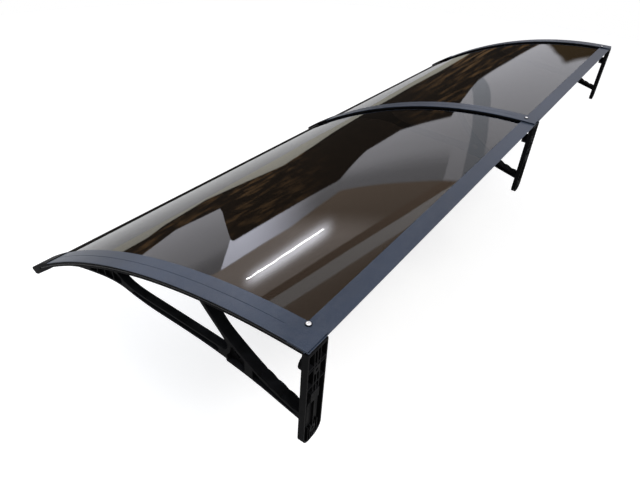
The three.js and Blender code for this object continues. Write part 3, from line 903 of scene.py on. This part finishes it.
class CANOPY_OT_stage(CanopyOperator, bpy.types.Operator):
    """Set the camera, the pale floor, the studio lamps and the world"""

    bl_idname = "canopy.stage"
    bl_label = "Stage"

    def execute(self, context):
        scene = context.scene
        scene.view_settings.view_transform = "Standard"
        scene.camera = make_camera()
        make_floor()
        make_lamps()
        scene.world = make_world()
        return {"FINISHED"}


def make_camera():
    data = bpy.data.cameras.new("camera")
    data.sensor_fit = "HORIZONTAL"
    data.sensor_width = SENSOR_WIDTH
    data.lens = CAMERA_LENS
    data.clip_start = 0.02
    data.clip_end = 200.0
    camera = bpy.data.objects.new("camera", data)
    camera.location = CAMERA_PLACE
    camera.rotation_euler = [math.radians(angle) for angle in CAMERA_TURN]
    bpy.context.collection.objects.link(camera)
    return camera


def make_floor():
    """A round pale floor that keeps the shadow and looks near white to the camera and through the sheets."""
    made = bmesh.new()
    bmesh.ops.create_circle(made, cap_ends=True, segments=FLOOR_SEGMENTS, radius=FLOOR_RADIUS)
    bmesh.ops.translate(made, verts=made.verts, vec=(0.0, 0.0, FLOOR_HEIGHT))
    mesh = bpy.data.meshes.new("pale_floor")
    made.to_mesh(mesh)
    made.free()
    floor = link(mesh, "pale_floor")
    material, tree, shader, output = new_material("pale_floor", FLOOR_PAINTS[1])
    clouds = noise(tree, object_point(tree), 5.0, 3.0)
    shade(tree, shader, Base_Color=mix_colour(tree, clouds, *FLOOR_PAINTS), Roughness=0.85)
    path = node(tree, "ShaderNodeLightPath").outputs
    seen = math_node(tree, "MAXIMUM", path["Is Camera Ray"], path["Is Transmission Ray"])
    glow = node(tree, "ShaderNodeEmission", {
        "Color": (1.0, 1.0, 1.0, 1.0), "Strength": math_node(tree, "MULTIPLY", seen, FLOOR_GLOW),
    }).outputs[0]
    total = node(tree, "ShaderNodeAddShader", {0: shader.outputs[0], 1: glow}).outputs[0]
    tree.links.new(total, output.inputs[0])
    mesh.materials.append(material)
    return floor


LAMPS = (
    # name, place, looks at, width, length, watts, colour
    ("key_softbox", (1.6, 2.6, 4.2), (0.2, -0.4, 0.0), 2.4, 2.4, 150.0, (1.0, 0.98, 0.95)),
    ("fill_softbox", (3.6, -2.2, 3.4), (0.4, -0.4, 0.0), 2.2, 2.2, 55.0, (0.93, 0.96, 1.0)),
    ("ceiling_tube", (-2.165, -3.435, 2.6), (-2.165, -3.435, 0.0), 0.045, 1.3, 4.8, (1.0, 1.0, 1.0)),
)
TUBE_TURN = math.radians(77.8)


def make_lamps():
    """Two softboxes that look at the canopy and a tube lamp that hangs level and shines down."""
    for name, place, target, width, length, watts, colour in LAMPS:
        data = bpy.data.lights.new(name, "AREA")
        data.shape = "RECTANGLE"
        data.size = width
        data.size_y = length
        data.energy = watts
        data.color = colour
        lamp = bpy.data.objects.new(name, data)
        lamp.location = place
        aim = Vector(target) - Vector(place)
        lamp.rotation_euler = aim.to_track_quat("-Z", "Y").to_euler()
        if name == "ceiling_tube":
            lamp.rotation_euler = (0.0, 0.0, TUBE_TURN)
        lamp.visible_camera = False
        bpy.context.collection.objects.link(lamp)


# The plain studio that glossy surfaces mirror, by direction. Each edge is a line of (share, height) points:
# height is the direction's Z, and share is its X without sign plus a tenth of its Z.
FLOOR_EDGE = ((0.47, -0.05), (0.5, -0.08), (0.57, -0.1), (0.7, -0.01), (0.81, -0.08), (0.9, -0.07),
              (0.95, -0.12))
WALL_EDGE = ((0.46, 0.07), (0.52, 0.02), (0.6, 0.05), (0.61, 0.3), (0.78, 0.28), (0.82, 0.2), (0.86, 0.19),
             (0.91, 0.24), (0.93, 0.14), (0.98, 0.11))
CEILING_EDGE = ((0.59, 0.4), (0.7, 0.38), (0.78, 0.33), (0.95, 0.5))
EDGE_LOW, EDGE_HIGH = -0.2, 0.6
SHARE_OF_HEIGHT = 0.1
# Tones
FLOOR_TONES = ((0.66, 0.64, 0.56), (0.42, 0.41, 0.35))
GAP_TONES = ((0.025, 0.021, 0.018), (0.2, 0.12, 0.06))
WALL_TONE = (0.88, 0.88, 0.94)
WALL_SHADE = 0.6
PANEL_TONE = (0.55, 0.58, 0.64)
LIT_WALL_TONE = (2.9, 2.95, 3.4)
CEILING_TONE = (0.44, 0.34, 0.27)
DARK_BEAM_TONE = (0.4, 0.29, 0.22)
LIGHT_BEAM_TONE = (0.95, 0.9, 0.88)
CORNER_TONE = (0.08, 0.055, 0.03)
LAMPLIGHT = (0.62, 0.57, 0.55)
TUBE_GLOW = (5.0, 5.1, 5.6)
DIFFUSE_TONE = (0.62, 0.63, 0.65)
# Where tones change: a low and a high end each
FLOOR_FADE = (0.66, 0.86)
WALL_SHADE_FADE = (-0.12, -0.03)
LIT_WALL_FADE = (0.42, 0.58)
LAMPLIGHT_FADE = (0.55, 0.62)
CORNER_START = (0.956, 0.959)
CORNER_TOP = (0.215, 0.23)
# Normals of the planes that bound beams, wall panels and the lit end of the wall
BEAM_PLANES = ((-0.2, -0.58, -0.79), (-0.22, -0.6, -0.77), (-0.23, -0.65, -0.73))
PANEL_PLANES = ((-0.44, 0.86, -0.24), (-0.42, 0.86, -0.31), (-0.39, 0.84, -0.36))
LIT_PLANE = (-0.77, 0.63, 0.12)
# The tube's axes and the place of its light along them
TUBE_ACROSS = (-0.114, -0.53, -0.84)
TUBE_ALONG = (-0.977, 0.21, 0.0)
TUBE_CENTRE = (-0.008, 0.495)
GLOW_REACH = (0.031, 0.08)
LAMPLIGHT_REACH = 0.17
LAMPLIGHT_SLANT = 0.55


def edge_height(tree, share, points):
    """A piecewise straight line through the points, read from a ramp."""
    span = EDGE_HIGH - EDGE_LOW
    value = ramp(tree, share, *((x, (z - EDGE_LOW) / span) for x, z in points))
    return math_node(tree, "MULTIPLY_ADD", value, span, EDGE_LOW)


def rising(tree, value, ends):
    """A soft step from 0 at the low end to 1 at the high end."""
    return map_range(tree, value, *ends, 0.0, 1.0, "SMOOTHSTEP")


def falling(tree, value, ends, low_value=0.0):
    """A soft step from 1 at the low end down to the low value at the high end."""
    return map_range(tree, value, *ends, 1.0, low_value, "SMOOTHSTEP")


def above(tree, height, edge, softness=0.006):
    """0 below an edge and 1 above it, with a soft step."""
    return rising(tree, math_node(tree, "SUBTRACT", height, edge), (-softness, softness))


def dot(tree, vector, direction):
    """How far the vector goes along a direction."""
    made = node(tree, "ShaderNodeVectorMath", {0: vector, 1: direction}, operation="DOT_PRODUCT")
    return made.outputs["Value"]


def beyond_planes(tree, direction, planes, softness):
    """For each plane through the centre, 0 for directions behind it and 1 in front."""
    return [above(tree, dot(tree, direction, plane), 0.0, softness) for plane in planes]


def bell(tree, value, centre, width, power=2.0):
    """exp of minus (distance from the centre in widths) to a power."""
    away = math_node(tree, "DIVIDE", math_node(tree, "SUBTRACT", value, centre), width)
    raised = math_node(tree, "POWER", math_node(tree, "ABSOLUTE", away), power)
    return math_node(tree, "EXPONENT", math_node(tree, "MULTIPLY", raised, -1.0))


def studio_gap(tree, direction, share):
    """The dark gap over the floor, with brown patches except in its middle."""
    stretched = node(tree, "ShaderNodeMapping", {"Vector": direction, "Scale": (1.0, 1.0, 2.2)}).outputs[0]
    patches = ramp(tree, noise(tree, stretched, 21.0, 3.0, 0.66), (0.5, 0.0), (0.66, 1.0))
    bare = math_node(tree, "SUBTRACT", 1.0, bell(tree, share, 0.81, 0.08, 4.0))
    return mix_colour(tree, math_node(tree, "MULTIPLY", patches, bare), *GAP_TONES)


def studio_wall(tree, direction, height, ceiling_edge, along):
    """A pale wall, shaded under the ceiling, with one bright and one dull panel and a lit end."""
    under_ceiling = math_node(tree, "SUBTRACT", height, ceiling_edge)
    shade_down = falling(tree, under_ceiling, WALL_SHADE_FADE, WALL_SHADE)
    first, second, third = beyond_planes(tree, direction, PANEL_PLANES, 0.002)
    bright_panel = math_node(tree, "SUBTRACT", first, second)
    dull_panel = math_node(tree, "SUBTRACT", second, third)
    brightness = math_node(tree, "MAXIMUM", shade_down, bright_panel)
    wall = mix_colour(tree, brightness, (0.0, 0.0, 0.0), WALL_TONE)
    wall = mix_colour(tree, dull_panel, wall, PANEL_TONE)
    lit_end = beyond_planes(tree, direction, (LIT_PLANE,), 0.002)[0]
    lit = math_node(tree, "MULTIPLY", falling(tree, along, LIT_WALL_FADE), lit_end)
    return mix_colour(tree, lit, wall, LIT_WALL_TONE)


def studio_ceiling(tree, direction, across, along):
    """A warm ceiling with the tube's light on it and two beams."""
    slanted = math_node(tree, "MULTIPLY_ADD", across, LAMPLIGHT_SLANT, along)
    lamplight = math_node(tree, "MULTIPLY", bell(tree, across, 0.0, LAMPLIGHT_REACH, 4.0),
                          falling(tree, slanted, LAMPLIGHT_FADE))
    first, second, third = beyond_planes(tree, direction, BEAM_PLANES, 0.003)
    ceiling = mix_colour(tree, lamplight, CEILING_TONE, LAMPLIGHT, "ADD")
    ceiling = mix_colour(tree, math_node(tree, "SUBTRACT", second, first), ceiling, DARK_BEAM_TONE)
    return mix_colour(tree, math_node(tree, "SUBTRACT", third, second), ceiling, LIGHT_BEAM_TONE)


def mirrored_studio(tree, direction):
    """Pale floor, dark gap, pale wall and warm ceiling, one over the other, and the glow of a tube lamp."""
    x, _, height = node(tree, "ShaderNodeSeparateXYZ", {0: direction}).outputs
    side = math_node(tree, "ABSOLUTE", x)
    share = math_node(tree, "MULTIPLY_ADD", height, SHARE_OF_HEIGHT, side)
    across = dot(tree, direction, TUBE_ACROSS)
    along = dot(tree, direction, TUBE_ALONG)
    ceiling_edge = edge_height(tree, share, CEILING_EDGE)
    tone = mix_colour(tree, rising(tree, share, FLOOR_FADE), *FLOOR_TONES)
    for edge, over in (
        (edge_height(tree, share, FLOOR_EDGE), studio_gap(tree, direction, share)),
        (edge_height(tree, share, WALL_EDGE), studio_wall(tree, direction, height, ceiling_edge, along)),
        (ceiling_edge, studio_ceiling(tree, direction, across, along)),
    ):
        tone = mix_colour(tree, above(tree, height, edge), tone, over)
    corner = math_node(tree, "MULTIPLY", rising(tree, side, CORNER_START), falling(tree, height, CORNER_TOP))
    tone = mix_colour(tree, corner, tone, CORNER_TONE)
    glow = math_node(tree, "MULTIPLY", bell(tree, across, TUBE_CENTRE[0], GLOW_REACH[0]),
                     bell(tree, along, TUBE_CENTRE[1], GLOW_REACH[1], 8.0))
    return mix_colour(tree, glow, tone, TUBE_GLOW, "ADD")


def make_world():
    """White to the camera and through the sheets, plain light on matt surfaces, a studio in glossy ones."""
    world = bpy.data.worlds.new("studio")
    world.use_nodes = True
    tree = world.node_tree
    tree.nodes.clear()
    output = node(tree, "ShaderNodeOutputWorld")
    direction = node(tree, "ShaderNodeTexCoord").outputs["Generated"]
    path = node(tree, "ShaderNodeLightPath").outputs
    white = math_node(tree, "MAXIMUM", path["Is Camera Ray"], path["Is Transmission Ray"])
    lit = mix_colour(tree, path["Is Glossy Ray"], DIFFUSE_TONE, mirrored_studio(tree, direction))
    shown = mix_colour(tree, white, lit, (1.0, 1.0, 1.0))
    back = node(tree, "ShaderNodeBackground", {"Color": shown, "Strength": 1.0})
    tree.links.new(back.outputs[0], output.inputs[0])
    return world


# Panel and registration


class CANOPY_PT_panel(bpy.types.Panel):
    """Lists the canopy's sizes, colours and steps"""

    bl_label = "Door canopy"
    bl_idname = "CANOPY_PT_panel"
    bl_space_type = "VIEW_3D"
    bl_region_type = "UI"
    bl_category = "Canopy"

    def draw(self, context):
        layout = self.layout
        for group in (context.scene.canopy_sizes, context.scene.canopy_colours):
            box = layout.box()
            for name in group.bl_rna.properties.keys():
                if name not in {"rna_type", "name"}:
                    box.prop(group, name)
        for operator in OPERATORS:
            layout.operator(operator.bl_idname)


OPERATORS = (
    CANOPY_OT_stage, CANOPY_OT_sheets, CANOPY_OT_strips, CANOPY_OT_edge_seals,
    CANOPY_OT_brackets, CANOPY_OT_bars, CANOPY_OT_screws, CANOPY_OT_wall_seals,
)
CLASSES = (CanopySizes, CanopyColours, *OPERATORS, CANOPY_PT_panel)


def register():
    for made in CLASSES:
        bpy.utils.register_class(made)
    bpy.types.Scene.canopy_sizes = PointerProperty(type=CanopySizes)
    bpy.types.Scene.canopy_colours = PointerProperty(type=CanopyColours)


def unregister():
    del bpy.types.Scene.canopy_colours
    del bpy.types.Scene.canopy_sizes
    for made in reversed(CLASSES):
        bpy.utils.unregister_class(made)


def main():
    register()
    bpy.ops.canopy.stage()
    bpy.ops.canopy.sheets()
    bpy.ops.canopy.strips()
    bpy.ops.canopy.edge_seals()
    bpy.ops.canopy.brackets()
    bpy.ops.canopy.bars()
    bpy.ops.canopy.screws()
    bpy.ops.canopy.wall_seals()


if __name__ == "__main__":
    main()
